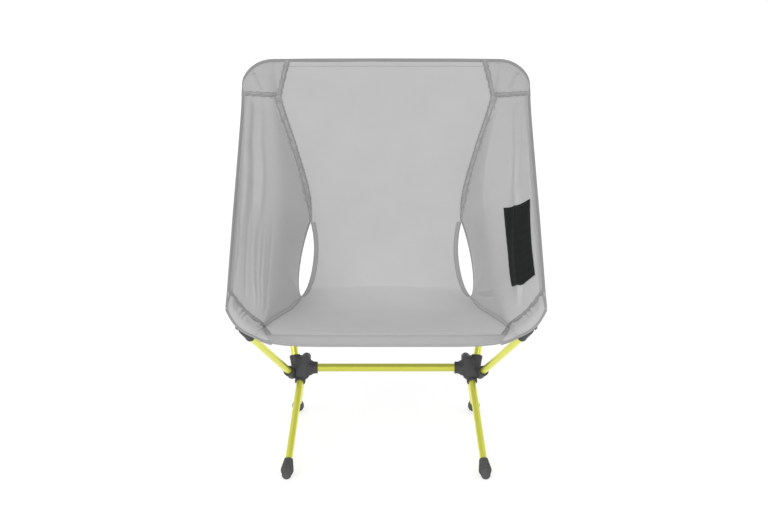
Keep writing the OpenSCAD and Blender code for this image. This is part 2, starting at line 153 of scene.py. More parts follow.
def panel(s, t):
    """Point on the back and seat panel: s from -1 to 1 across, t from the top hem to the front hem."""
    s, t = arrays(s, t)
    seam, middle = spline(SEAM, t), spline(MIDDLE, t, FOLD_AT)
    power = 2.6 + 5 * np.clip((t - 0.85) / 0.15, 0, 1) ** 2
    keep = 1 - np.minimum(np.abs(s), 1) ** power
    half = seam[..., 0] - OPEN_BACK * opening(t)
    y = seam[..., 1] + (middle[..., 1] - FRONT_PUSH * roll(t) - seam[..., 1]) * keep
    z = seam[..., 2] + (middle[..., 2] + FRONT_ROLL * roll(t) - seam[..., 2]) * keep
    return np.stack([s * half, y, z], -1)


def flat_wing(s, t, crease):
    """Point on a right-hand wing without its folds: s from the seam to the free edge, t as for the panel."""
    s, t = arrays(s, t)
    seam = spline(SEAM, t)
    seam = seam + np.stack([OPEN_WING * opening(t) * (1 - s) ** 2, 0 * t, 0 * t], -1)
    edge = EDGE_TOP + (EDGE_FRONT - EDGE_TOP) * t[..., None]
    ridge = through(*crease, t, 0.09)
    inner, outer = np.maximum(s, 1e-6) / ridge, np.maximum(1 - s, 1e-6) / (1 - ridge)
    profile = 1.19 * (inner**-4 + outer**-4) ** -0.25
    bow = WING_BOW * np.sin(np.pi * np.clip(t, 0, 1)) ** 0.8 * profile
    point = seam + (edge - seam) * s[..., None] + bow[..., None] * BOW_DIRECTION
    droop = smooth((t - 0.93) / 0.07) * np.sin(np.pi * np.clip(s, 0, 1))
    point = point + droop[..., None] * POCKET_DROOP
    corner = np.maximum(0, 1 - t / 0.14) ** 2
    top = SEAM[0]
    point[..., 0] += corner * (EDGE_TOP[0] - top[0]) * (np.sin(np.pi / 2 * s) - s)
    point[..., 2] += corner * (top[2] - EDGE_TOP[2]) * (np.cos(np.pi / 2 * s) - (1 - s))
    return point


def normals(f, a, b, h=0.004):
    """Unit normals of the surface f on arrays a and b, pointing towards the sitter."""
    da = f(a + h, b) - f(a - h, b)
    db = f(a, np.clip(b + h, 0, 1)) - f(a, np.clip(b - h, 0, 1))
    return unit(np.cross(db, da))


span_steps = np.linspace(0, 1, 200)
outer_line, seam_line = (flat_wing(s, span_steps, CREASE["left"]) for s in (1.0, 0.0))
spans = np.linalg.norm(outer_line - seam_line, axis=-1)


def wing_span(t):
    """Distance across the wing from its seam to its free edge at t, in metres."""
    return np.interp(t, span_steps, spans)


def lengths(points):
    """Length along a line of points up to each of them."""
    return np.concatenate([[0], np.cumsum(np.linalg.norm(np.diff(points, axis=0), axis=1))])


line_steps = np.linspace(0, 1, 400)
line_lengths = lengths(spline(MIDDLE, line_steps, FOLD_AT))


def along_panel(t):
    """Length of the panel's middle line up to t, in metres."""
    return np.interp(t, line_steps, line_lengths)


# Folds of the wings: height, width, the line as (along, across), where it fades in and out along
WING_FOLDS = {
    "left": (
        (-0.0027, 0.0050, ((0.07, 0.68), (0.24, 0.83), (0.45, 0.84), (0.62, 0.82)), (0.06, 0.12, 0.42, 0.62)),
        (0.0022, 0.0060, ((0.07, 0.80), (0.24, 0.91), (0.45, 0.91), (0.62, 0.90)), (0.06, 0.12, 0.45, 0.66)),
        (0.0020, 0.0055, ((0.07, 0.56), (0.24, 0.74), (0.45, 0.77), (0.62, 0.76)), (0.08, 0.16, 0.42, 0.62)),
        (-0.0010, 0.0032, ((0.08, 0.95), (0.4, 0.95), (0.85, 0.93)), (0.09, 0.12, 0.17, 0.30)),
        (-0.0009, 0.0034, ((0.25, 0.93), (0.6, 0.93), (0.88, 0.86)), (0.30, 0.45, 0.80, 0.90)),
        (-0.0010, 0.0036, ((0.40, 0.87), (0.65, 0.84), (0.80, 0.75), (0.90, 0.60)), (0.40, 0.60, 0.85, 0.91)),
        (-0.0010, 0.0040, ((0.40, 0.66), (0.62, 0.60), (0.76, 0.46), (0.90, 0.18)), (0.45, 0.62, 0.84, 0.91)),
        (0.0013, 0.0040, ((0.45, 0.81), (0.67, 0.76), (0.80, 0.63), (0.90, 0.36)), (0.45, 0.68, 0.86, 0.92)),
        (0.0012, 0.0034, ((0.45, 0.76), (0.65, 0.70), (0.78, 0.58), (0.90, 0.30)), (0.48, 0.70, 0.86, 0.92)),
        (0.0012, 0.0036, ((0.45, 0.72), (0.63, 0.66), (0.76, 0.55), (0.90, 0.24)), (0.50, 0.72, 0.85, 0.91)),
    ),
    "right": (
        (-0.0015, 0.0045, ((0.08, 0.52), (0.13, 0.62), (0.28, 0.76), (0.46, 0.76)), (0.07, 0.13, 0.36, 0.47)),
        (-0.0013, 0.0040, ((0.08, 0.68), (0.12, 0.76), (0.29, 0.83), (0.48, 0.82)), (0.07, 0.13, 0.38, 0.50)),
        (0.0012, 0.0045, ((0.08, 0.60), (0.12, 0.69), (0.28, 0.80), (0.47, 0.79)), (0.07, 0.13, 0.40, 0.52)),
        (0.0034, 0.0085, ((0.40, 0.80), (0.50, 0.81), (0.66, 0.73), (0.82, 0.61), (0.9, 0.40)),
         (0.38, 0.50, 0.80, 0.91)),
        (0.0014, 0.0030, ((0.40, 0.80), (0.50, 0.81), (0.66, 0.73), (0.82, 0.61), (0.9, 0.40)),
         (0.42, 0.50, 0.80, 0.88)),
        (-0.0012, 0.0050, ((0.70, 0.80), (0.80, 0.72), (0.9, 0.45)), (0.72, 0.82, 0.88, 0.92)),
        (0.0012, 0.0042, ((0.60, 0.10), (0.68, 0.22), (0.74, 0.40)), (0.60, 0.63, 0.68, 0.76)),
        (-0.0012, 0.0042, ((0.60, 0.06), (0.69, 0.16), (0.77, 0.32)), (0.60, 0.63, 0.68, 0.78)),
        (-0.0009, 0.0034, ((0.15, 0.95), (0.5, 0.95), (0.88, 0.90)), (0.12, 0.30, 0.78, 0.90)),
        (0.0010, 0.0050, ((0.10, 0.30), (0.30, 0.42), (0.45, 0.45)), (0.10, 0.18, 0.34, 0.48)),
    ),
}
# Short wrinkles where the cloth is drawn to a point: height, width, ends as (across, along), on each wing
WING_WRINKLES = (
    (0.0009, 0.0032, (0.02, 0.38), (0.16, 0.37)), (-0.0008, 0.0030, (0.03, 0.39), (0.17, 0.40)),
    (0.0008, 0.0034, (0.05, 0.60), (0.20, 0.57)), (0.0010, 0.0036, (0.04, 0.10), (0.14, 0.15)),
)
PANEL_WRINKLES = (
    (0.0008, 0.0040, (0.98, 0.60), (0.86, 0.57)), (-0.0007, 0.0036, (0.97, 0.57), (0.87, 0.55)),
    (0.0007, 0.0036, (0.96, 0.55), (0.88, 0.53)), (0.0008, 0.0044, (0.99, 0.39), (0.88, 0.36)),
    (0.0010, 0.0060, (0.93, 0.03), (0.78, 0.07)), (0.0009, 0.0060, (0.97, 0.09), (0.86, 0.15)),
    (-0.0008, 0.0050, (0.97, 0.96), (0.84, 0.90)), (0.0009, 0.0060, (0.97, 0.93), (0.80, 0.88)),
)


def window(t, marks):
    """Fades in between the first two marks and out between the last two."""
    fade_in = smooth((t - marks[0]) / (marks[1] - marks[0]))
    return fade_in * (1 - smooth((t - marks[2]) / (marks[3] - marks[2])))


def wrinkles(rows, across, along, wide, long):
    """Height of short wrinkles on cloth that is wide across and long along, both in metres."""
    height = np.zeros_like(across)
    for size, width, start, end in rows:
        a0, b0 = start[0] * wide, start[1] * long
        da, db = end[0] * wide - a0, end[1] * long - b0
        length = np.hypot(da, db)
        x, y = across * wide - a0, along * long - b0
        on = (x * da + y * db) / length
        off = np.abs(x * db - y * da) / length
        height = height + size * np.exp(-(off / width) ** 2) * smooth(on / 0.004) * (1 - smooth(on / length))
    return height


def make_wing(side_name):
    """The folded surface of one wing as a function of s and t, in right-hand coordinates."""
    crease = CREASE[side_name]

    def folds(s, t):
        span = wing_span(t)
        height = np.zeros_like(s)
        for size, width, line, marks in WING_FOLDS[side_name]:
            centre = through([p[0] for p in line], [p[1] for p in line], t)
            height = height + size * window(t, marks) * np.exp(-((s - centre) * span / width) ** 2)
        height = height + wrinkles(WING_WRINKLES, s, t, WING_WIDTH, WING_LENGTH)
        return height * smooth((1.02 - s) * span / 0.012) * smooth((s + 0.02) * span / 0.010)

    def surface(s, t):
        s, t = arrays(s, t)
        plain = lambda a, b: flat_wing(a, b, crease)
        return plain(s, t) + normals(plain, np.clip(s, 0.01, 0.99), t) * folds(s, t)[..., None]

    return surface


def folded_panel(s, t):
    """The panel with its short wrinkles and a slight unevenness."""
    s, t = arrays(s, t)
    height = wrinkles(PANEL_WRINKLES, np.abs(s), t, PANEL_HALF, PANEL_LENGTH)
    height = height + 0.0005 * np.sin(9 * s + 2.1) * np.sin(13 * t + 0.7) * smooth((1 - np.abs(s)) / 0.2)
    return panel(s, t) + normals(panel, np.clip(s, -0.99, 0.99), t) * height[..., None]


WINGS = {name: make_wing(name) for name in SIDES}


# ---------------------------------------------------------------- mesh tools
def new_object(name, vertices, faces, uvs=None, shade_smooth=True):
    mesh = bpy.data.meshes.new(name)
    mesh.from_pydata([tuple(v) for v in vertices], [], [tuple(f) for f in faces])
    mesh.validate()
    if uvs is not None:
        layer = mesh.uv_layers.new(name="cloth")
        index = np.zeros(len(mesh.loops), int)
        mesh.loops.foreach_get("vertex_index", index)
        layer.data.foreach_set("uv", np.asarray(uvs, np.float32)[index].ravel())
    mesh.polygons.foreach_set("use_smooth", [shade_smooth] * len(mesh.polygons))
    mesh.update()
    obj = bpy.data.objects.new(name, mesh)
    bpy.context.scene.collection.objects.link(obj)
    return obj


def grid_faces(rows, columns, closed=False):
    """Quads over a grid of points, which is a tube when it is closed across."""
    i, j = np.meshgrid(np.arange(rows - 1), np.arange(columns if closed else columns - 1), indexing="ij")
    k = (j + 1) % columns
    return np.stack([i * columns + j, i * columns + k, (i + 1) * columns + k, (i + 1) * columns + j],
                    -1).reshape(-1, 4)


def mirrored(points, side):
    return points * np.array((side, 1.0, 1.0))


def cloth_sheet(name, points, uvs, side=1.0, thickness=CLOTH):
    """A grid of points as thin cloth with a real thickness."""
    faces = grid_faces(*points.shape[:2])
    if side < 0:
        faces = faces[:, ::-1]
    obj = new_object(name, mirrored(points, side).reshape(-1, 3), faces, uvs.reshape(-1, 2))
    solid = obj.modifiers.new("thickness", "SOLIDIFY")
    solid.thickness = thickness
    solid.offset = 0
    return obj


def flat_run(run):
    """Gives lay(x), the points and normals at distances x beside the line of a run."""
    line, normal = run
    across = unit(np.cross(normal, unit(np.gradient(line, axis=0))))

    def lay(x):
        return line[:, None] + across[:, None] * x[..., None], np.broadcast_to(normal[:, None], (*x.shape, 3))

    return lay


def ribbon(name, lay, rows, width, side=1.0, half=0.0009, columns=11, pucker=0.0, wave=0.0, crown=0.0):
    """A tape with rounded edges, where lay(x) gives its place at distances x beside its line."""
    x = np.linspace(-1, 1, columns)
    length = lengths(lay(np.zeros((rows, 1)))[0][:, 0])
    ripple = pucker * (np.sin(length * 1150 + 1.7 * np.sin(length * 170)) + 0.6 * np.sin(length * 610 + 1))
    sway = wave * np.sin(length * 520 + 2 * np.sin(length * 90))
    thick = half * np.sqrt(1 - np.abs(x) ** 8) + 0.00006 + crown * (1 - x * x)
    lift = ripple[:, None] * (0.25 + np.abs(x)[None, :] ** 2)
    base, normal = lay((x * width / 2)[None, :] + sway[:, None])
    top = base + normal * (thick[None, :] + lift)[..., None]
    low = base - normal * (thick[None, :] * 0.9 - lift)[..., None]
    loop = np.concatenate([top, low[:, ::-1]], 1)
    count = loop.shape[1]
    faces = [tuple(face) for face in grid_faces(rows, count, closed=True)]
    faces.append(tuple(range(count))[::-1])
    faces.append(tuple((rows - 1) * count + k for k in range(count)))
    place = (x + 1) / 2 * width
    u = np.concatenate([place, place[::-1]])[None, :].repeat(rows, 0)
    v = length[:, None].repeat(count, 1)
    if side < 0:
        faces = [face[::-1] for face in faces]
    return new_object(name, mirrored(loop, side).reshape(-1, 3), faces, np.stack([u, v], -1).reshape(-1, 2))


def line_on(surface, a_values, b_values, lift=0.0, h=0.006):
    """Points and normals along a line on a surface."""
    a_values, b_values = arrays(a_values, b_values)
    normal = normals(surface, a_values, b_values, h)
    return surface(a_values, b_values) + normal * lift, normal


def join(runs):
    """One run from several that follow one another."""
    return np.concatenate([run[0] for run in runs]), np.concatenate([run[1] for run in runs])


def even(run, step=0.0015):
    """The same run with its points evenly spaced."""
    line, normal = run
    length = lengths(line)
    at = np.linspace(0, length[-1], max(8, int(length[-1] / step)))
    line = np.stack([np.interp(at, length, line[:, k]) for k in range(3)], 1)
    return line, unit(np.stack([np.interp(at, length, normal[:, k]) for k in range(3)], 1))


def beside(lay, rows, shift, lift):
    """A line at distance shift beside the one that lay follows, for a row of stitches."""
    point, normal = lay(np.full((rows, 1), shift))
    return (point + normal * lift)[:, 0], normal[:, 0]


def tape_along(name, run, width, side=1.0, sewn=(), lift=0.001, **shape):
    """A flat ribbon along a run, and the lines beside its middle where it is sewn."""
    run = even(run)
    lay, rows = flat_run(run), len(run[0])
    return ribbon(name, lay, rows, width, side, **shape), [beside(lay, rows, shift, lift) for shift in sewn]


def seam_run(wing, t_values, end, wide):
    """Gives lay(x) for a ribbon over the seam, which bridges the valley between the panel, for x below 0,
    and the wing, and narrows towards end."""
    narrow = wide * (0.35 + 0.65 * smooth(np.abs(t_values - end) / 0.06))

    def lay(x):
        t = np.broadcast_to(t_values[:, None], x.shape)
        x = x * narrow[:, None] / wide
        first, last = -SEAM_ON_PANEL * narrow[:, None], SEAM_ON_WING * narrow[:, None]
        share = (x - first) / (last - first)
        half, span = spline(SEAM, t)[..., 0], wing_span(t)
        ends = (folded_panel(1 + first / half, t), wing(last / span, t))
        chord = ends[0] + (ends[1] - ends[0]) * share[..., None]
        valley = np.where((x < 0)[..., None], folded_panel(1 + np.minimum(x, 0) / half, t),
                          wing(np.maximum(x, 0) / span, t))
        ahead = unit(ends[0][1:] - ends[0][:-1])
        ahead = np.concatenate([ahead, ahead[-1:]])
        return chord + (valley - chord) * 0.35, unit(np.cross(ahead, ends[1] - ends[0]))

    return lay


def stitches(name, runs, side=1.0, pitch=0.0034, radius=0.00028):
    """Rows of thread, each run being (points, normals) in order."""
    vertices, faces = [], []
    around = np.linspace(0, 2 * np.pi, 6, endpoint=False)
    for points, normal in runs:
        step = lengths(points)
        for start in np.arange(pitch * 0.3, step[-1] - pitch, pitch):
            ends = [np.array([np.interp(start + w, step, points[:, k]) for k in range(3)])
                    for w in (0, pitch * 0.5, pitch * 0.74)]
            up = unit(np.array([np.interp(start, step, normal[:, k]) for k in range(3)]))
            forward = unit(ends[2] - ends[0])
            across = np.cross(forward, up)
            first = len(vertices)
            for end, size, lift in zip(ends, (0.35, 1.0, 0.35), (-0.4, 0.5, -0.4)):
                for angle in around:
                    vertices.append(end + radius * (size * (math.cos(angle) * across + math.sin(angle) * up)
                                                    + lift * up))
            for ring in (0, 6):
                for k in range(6):
                    n = (k + 1) % 6
                    low, high = first + ring, first + ring + 6
                    faces.append((low + k, low + n, high + n, high + k))
            faces.append(tuple(first + k for k in range(6))[::-1])
            faces.append(tuple(first + 12 + k for k in range(6)))
    if side < 0:
        faces = [face[::-1] for face in faces]
    return new_object(name, mirrored(np.array(vertices), side), faces)


# ---------------------------------------------------------------- materials
def new_material(name):
    material = bpy.data.materials.new(name)
    material.use_nodes = True
    nodes, links = material.node_tree.nodes, material.node_tree.links
    return material, nodes, links, nodes["Principled BSDF"]


def colour_mix(nodes, links, factor, low, high, into):
    """Mixes two colours by factor into a socket, and returns the mixed colour."""
    mix = nodes.new("ShaderNodeMix")
    mix.data_type = "RGBA"
    mix.inputs["A"].default_value = (*low, 1)
    mix.inputs["B"].default_value = (*high, 1)
    links.new(factor, mix.inputs["Factor"])
    links.new(mix.outputs["Result"], into)
    return mix.outputs["Result"]


def darken(nodes, links, base, colour, share, factor, into):
    """Mixes the base colour by factor with a colour that is darker by share."""
    dark = tuple(c * (1 - share) for c in colour)
    result = colour_mix(nodes, links, factor, dark, dark, into)
    links.new(base, result.node.inputs["A"])
    return result


def noise(nodes, links, vector, scale, detail):
    node = nodes.new("ShaderNodeTexNoise")
    node.inputs["Scale"].default_value = scale
    node.inputs["Detail"].default_value = detail
    links.new(vector, node.inputs["Vector"])
    return node.outputs["Fac"]


def bump(nodes, links, height, strength, distance, shader):
    node = nodes.new("ShaderNodeBump")
    node.inputs["Strength"].default_value = strength
    node.inputs["Distance"].default_value = distance
    links.new(height, node.inputs["Height"])
    links.new(node.outputs["Normal"], shader.inputs["Normal"])


def ramp(nodes, links, source, low, high, start=0.0, stop=1.0):
    """Maps source from start..stop to low..high."""
    node = nodes.new("ShaderNodeMapRange")
    node.inputs["From Min"].default_value = start
    node.inputs["From Max"].default_value = stop
    node.inputs["To Min"].default_value = low
    node.inputs["To Max"].default_value = high
    links.new(source, node.inputs["Value"])
    return node.outputs["Result"]


def maths(nodes, links, operation, first, second=None, third=None):
    node = nodes.new("ShaderNodeMath")
    node.operation = operation
    for k, value in enumerate((first, second, third)):
        if value is None:
            continue
        if isinstance(value, (int, float)):
            node.inputs[k].default_value = value
        else:
            links.new(value, node.inputs[k])
    return node.outputs[0]


def woven_threads(nodes, links, uv, thread):
    """Height of crossing threads, from waves both ways on the cloth UVs."""
    waves = []
    for axis in ("X", "Y"):
        wave = nodes.new("ShaderNodeTexWave")
        wave.wave_type = "BANDS"
        wave.bands_direction = axis
        wave.inputs["Scale"].default_value = math.pi / (10 * thread)
        wave.inputs["Distortion"].default_value = 0.5
        wave.inputs["Detail Scale"].default_value = 3
        links.new(uv, wave.inputs["Vector"])
        waves.append(wave.outputs["Fac"])
    return maths(nodes, links, "MULTIPLY", waves[0], waves[1])


def painted_light_below(nodes, links, dyed, painted_fill, into):
    """Painted light: makes the cloth colour paler towards the bottom of the seat, where it is shaded, and a
    little darker near its top.
    """
    place = nodes.new("ShaderNodeTexCoord")
    height_of = nodes.new("ShaderNodeSeparateXYZ")
    links.new(place.outputs["Object"], height_of.inputs["Vector"])
    brightened = nodes.new("ShaderNodeMix")
    brightened.data_type = "RGBA"
    brightened.blend_type = "MULTIPLY"
    brightened.inputs["Factor"].default_value = 1.0
    links.new(dyed, brightened.inputs["A"])
    # Painted light: brighter low down at the seat, a little darker towards the top of the back.
    share = ramp(nodes, links, height_of.outputs["Z"], 1 + painted_fill, 1 - 0.45 * painted_fill, 0.27, 0.60)
    links.new(share, brightened.inputs["B"])
    links.new(brightened.outputs["Result"], into)


def sewn_grooves(nodes, links, uv, lines):
    """Uneven grooves along a tape, for (place across, half width) in lines. They serve as bump height and as
    painted shade in the colour.
    """
    split = nodes.new("ShaderNodeSeparateXYZ")
    links.new(uv, split.inputs["Vector"])
    groove = None
    for place, half in lines:
        away = maths(nodes, links, "ABSOLUTE", maths(nodes, links, "SUBTRACT", split.outputs["X"], place))
        near = ramp(nodes, links, away, 1.0, 0.0, 0.3 * half, half)
        groove = near if groove is None else maths(nodes, links, "MAXIMUM", groove, near)
    uneven = noise(nodes, links, uv, 170, 1)
    return maths(nodes, links, "MULTIPLY", groove, ramp(nodes, links, uneven, 0.55, 1.0, 0.3, 0.6))


def fabric(name, colour, lines=(), groove_shade=0.4, variation=0.05, thread=0.00055, rough=0.85, sheen=0.15,
           pucker_shade=0.0, painted_fill=0.13):
    """Woven cloth on the cloth UVs, which are in metres. lines are (place across, half width) of sewn
    grooves, which get a bump and painted shade as deep as groove_shade; pucker_shade darkens random patches
    as painted shade of puckers, and painted_fill is how much painted light makes cloth without grooves paler
    towards the bottom of the seat."""
    material, nodes, links, shader = new_material(name)
    cloth_uv = nodes.new("ShaderNodeUVMap")
    cloth_uv.uv_map = "cloth"
    uv, colour_in = cloth_uv.outputs["UV"], shader.inputs["Base Color"]
    threads = woven_threads(nodes, links, uv, thread)
    tone = maths(nodes, links, "MULTIPLY_ADD", threads, 0.14, noise(nodes, links, uv, 18, 6))
    tone = maths(nodes, links, "MULTIPLY_ADD", noise(nodes, links, uv, 260, 2), 0.10, tone)
    tone = maths(nodes, links, "SUBTRACT", tone, 0.08)
    low = tuple(c * (1 - variation) for c in colour)
    high = tuple(min(1, c * (1 + variation)) for c in colour)
    dyed = colour_mix(nodes, links, tone, low, high, colour_in)
    # Painted shade of puckers: random patches of the cloth darker.
    if pucker_shade:
        patches = ramp(nodes, links, noise(nodes, links, uv, 80, 2), 0.0, 1.0, 0.38, 0.66)
        dyed = darken(nodes, links, dyed, colour, pucker_shade, patches, colour_in)
    height = threads
    if lines:
        # Painted shade along the sewn grooves, which also get a bump.
        groove = sewn_grooves(nodes, links, uv, lines)
        darken(nodes, links, dyed, colour, groove_shade, groove, colour_in)
        height = maths(nodes, links, "MULTIPLY_ADD", groove, -4.0, threads)
    # Cloth without grooves gets painted light: paler towards the bottom of the seat.
    elif painted_fill:
        painted_light_below(nodes, links, dyed, painted_fill, colour_in)
    bump(nodes, links, height, 0.3, 0.00012, shader)
    shader.inputs["Roughness"].default_value = rough
    shader.inputs["Sheen Weight"].default_value = sheen
    shader.inputs["Sheen Roughness"].default_value = 0.45
    shader.inputs["Specular IOR Level"].default_value = 0.25
    return material


def anodised(name, colour, rough=0.3, metal=0.6):
    """Dyed, satin-finished tube: fine scratches in the sheen, slightly rubbed colour."""
    material, nodes, links, shader = new_material(name)
    place = nodes.new("ShaderNodeTexCoord").outputs["Object"]
    fine, broad = noise(nodes, links, place, 700, 3), noise(nodes, links, place, 14, 4)
    rubbed = tuple(min(1, c * 1.04 + 0.01) for c in colour)
    colour_mix(nodes, links, broad, tuple(c * 0.96 for c in colour), rubbed, shader.inputs["Base Color"])
    links.new(ramp(nodes, links, fine, rough - 0.03, rough + 0.05), shader.inputs["Roughness"])
    bump(nodes, links, fine, 0.01, 0.000004, shader)
    shader.inputs["Metallic"].default_value = metal
    shader.inputs["Coat Weight"].default_value = 0.25
    shader.inputs["Coat Roughness"].default_value = 0.25
    return material


def moulded(name, colour, rough=0.55, grain=1400):
    """Moulded plastic or rubber: spark-eroded grain, faint rubbed patches."""
    material, nodes, links, shader = new_material(name)
    place = nodes.new("ShaderNodeTexCoord").outputs["Object"]
    fine, broad = noise(nodes, links, place, grain, 2), noise(nodes, links, place, 90, 5)
    rubbed = tuple(c * 1.5 + 0.006 for c in colour)
    colour_mix(nodes, links, broad, tuple(c * 0.8 for c in colour), rubbed, shader.inputs["Base Color"])
    links.new(ramp(nodes, links, broad, rough - 0.1, rough + 0.12), shader.inputs["Roughness"])
    bump(nodes, links, fine, 0.35, 0.00008, shader)
    return material


def braided(name, colour):
    """Woven sheath of an elastic cord: crossing bands along the cord."""
    material, nodes, links, shader = new_material(name)
    place = nodes.new("ShaderNodeTexCoord")
    crossing = nodes.new("ShaderNodeTexWave")
    crossing.bands_direction = "DIAGONAL"
    crossing.inputs["Scale"].default_value = 260
    crossing.inputs["Distortion"].default_value = 1.2
    links.new(place.outputs["Object"], crossing.inputs["Vector"])
    colour_mix(nodes, links, crossing.outputs["Fac"], tuple(c * 0.6 for c in colour),
               tuple(c * 2.4 for c in colour), shader.inputs["Base Color"])
    bump(nodes, links, crossing.outputs["Fac"], 0.5, 0.0002, shader)
    shader.inputs["Roughness"].default_value = 0.7
    return material


def grey(level):
    return (level, level, level)


MATERIALS = {
    # Cloth without sewn lines gets painted light towards the bottom of the seat by default, and the wing
    # cloth gets more of it.
    "seat_fabric": fabric("seat_fabric", grey(0.43)),
    # Seam and border tapes: the darker lines along their grooves are painted shade.
    "seam_fabric": fabric("seam_fabric", grey(0.39), lines=((0.0030, 0.0024), (0.0135, 0.0026)),
                          groove_shade=0.5),
    "hem_fabric": fabric("hem_fabric", grey(0.37)),
    "patch_fabric": fabric("patch_fabric", grey(0.38)),
    "binding_tape": fabric("binding_tape", grey(0.29), thread=0.0009),
    "woven_label": fabric("woven_label", (0.006, 0.0075, 0.0075), thread=0.0007, sheen=0.0, rough=0.7,
                          painted_fill=0.0),
    "anodised_pole": anodised("anodised_pole", (0.76, 0.77, 0.115), 0.28, 0.7),
    "plain_aluminium": anodised("plain_aluminium", (0.62, 0.63, 0.65), 0.35),
    "hub_plastic": moulded("hub_plastic", (0.032, 0.032, 0.034)),
    "cap_plastic": moulded("cap_plastic", (0.026, 0.026, 0.028)),
    "foot_rubber": moulded("foot_rubber", grey(0.053), 0.75, grain=900),
    "elastic_cord": braided("elastic_cord", (0.03, 0.03, 0.032)),
    # The upper seam and border tapes also get random patches of painted pucker shade.
    "seam_upper": fabric("seam_upper", grey(0.385), lines=((0.0030, 0.0034), (0.0175, 0.0040)),
                         groove_shade=0.35, pucker_shade=0.28),
    "seam_lower": fabric("seam_lower", grey(0.42), lines=((0.0018, 0.0018), (0.0095, 0.0020)),
                         groove_shade=0.18),
    "border": fabric("border_tape", grey(0.33), lines=((0.0022, 0.0022), (0.0070, 0.0022)), groove_shade=0.25,
                     pucker_shade=0.3),
    "edge": fabric("edge_tape", grey(0.25)),
    # Painted shade: the crossbar gets the pole finish made darker, for the shade under the seat.
    "crossbar": anodised("crossbar_shaded_anodised", (0.58, 0.595, 0.075), 0.28, 0.7),
    "wing": fabric("wing_fabric", grey(0.40), painted_fill=0.20),
    "front_hem": fabric("front_hem_fabric", grey(0.30)),
    "thread": moulded("thread", grey(0.20), 0.6),
    "label_thread": moulded("label_thread", (0.05, 0.05, 0.052), 0.6),
}


def finish_piece(obj, body, slot, *nodes, material=None):
    obj.data.materials.clear()
    obj.data.materials.append(MATERIALS[material or slot])
    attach(obj, body)
    if nodes:
        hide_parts(*nodes)
    return obj


# ---------------------------------------------------------------- CAD nodes that stay
slot_of = {row["node"]: row["material_slot"] for row in frame["record"]["subparts"]}
for node_name, node in frame["nodes"].items():
    # The crossbar takes the darker copy of the pole finish as painted shade.
    material = MATERIALS["crossbar"] if node_name == "crossbar" else MATERIALS[slot_of[node_name]]
    if not node.material_slots:
        node.data.materials.append(material)
    for material_slot in node.material_slots:
        material_slot.material = material


# ---------------------------------------------------------------- hubs
for side_name in SIDES:
    node = frame["nodes"][f"{side_name}_hub"]
    hub = bpy.data.objects.new(f"{side_name}_hub_moulding", node.data.copy())
    bpy.context.scene.collection.objects.link(hub)
    remesh = hub.modifiers.new("even mesh", "REMESH")
    remesh.mode = "VOXEL"
    remesh.voxel_size = 0.0007
    remesh.use_smooth_shade = True
    soften = hub.modifiers.new("moulded edges", "SMOOTH")
    soften.factor = 0.5
    soften.iterations = 7
    finish_piece(hub, "base", "hub_plastic", f"{side_name}_hub")


# ---------------------------------------------------------------- seat panels
def near_seam_ripple(distance, t, phase):
    """Height of the small ripples that the stitching draws up, fading with distance from the seam."""
    length = t * PANEL_LENGTH
    wave = np.sin(length * 720 + phase + 2.2 * np.sin(length * 95 + phase))
    wave = wave + 0.5 * np.sin(length * 1300 + 2 * phase)
    return 0.00034 * wave * np.exp(-np.maximum(distance - 0.004, 0) / 0.007)


def build_panel():
    grid_s, grid_t = unit_grid(281, 421, -1)
    points = folded_panel(grid_s, grid_t)
    normal = normals(panel, np.clip(grid_s, -0.994, 0.994), grid_t)
    near = (1 - np.abs(grid_s)) * spline(SEAM, grid_t)[..., 0]
    sewn = opening(grid_t) < 0.01
    lift = np.where(sewn, near_seam_ripple(near, grid_t, 0.7 + 1.3 * (grid_s > 0)), 0)
    points = points + normal * lift[..., None]
    return cloth_sheet("seat_panel", points, np.stack([points[..., 0], along_panel(grid_t)], -1))


def build_wing(side_name, side):
    grid_s, grid_t = unit_grid(181, 421)
    surface = WINGS[side_name]
    points = surface(grid_s, grid_t)
    normal = normals(surface, np.clip(grid_s, 0.006, 0.994), grid_t)
    span = wing_span(grid_t)
    sewn = opening(grid_t) < 0.01
    lift = np.where(sewn, near_seam_ripple(grid_s * span, grid_t, 2.0 * side), 0)
    points = points + normal * lift[..., None]
    uvs = np.stack([grid_s * span, along_panel(grid_t)], -1)
    return cloth_sheet(f"{side_name}_wing_cloth", points, uvs, side)


sewn_on = {"panel": [], "left": [], "right": []}


def sew(obj, part, slot, *nodes, material=None):
    """Finishes a piece that is sewn on the panel or on one side's wing."""
    sewn_on[part].append(obj)
    return finish_piece(obj, "seat", slot, *nodes, material=material)


seat_panel = finish_piece(build_panel(), "seat", "seat_fabric", "centre_panel")
for side_name, side in SIDES.items():
    finish_piece(build_wing(side_name, side), "seat", "seat_fabric",
                                          f"{side_name}_wing", material="wing")


# ---------------------------------------------------------------- seams, hems and bindings
# Each function makes the pieces of one side and gives back the lines that are stitched.
PATCH_IN, PATCH_LOW = 0.031, 0.094
POCKET_TOP, POCKET_SEAM = 0.918, 0.8


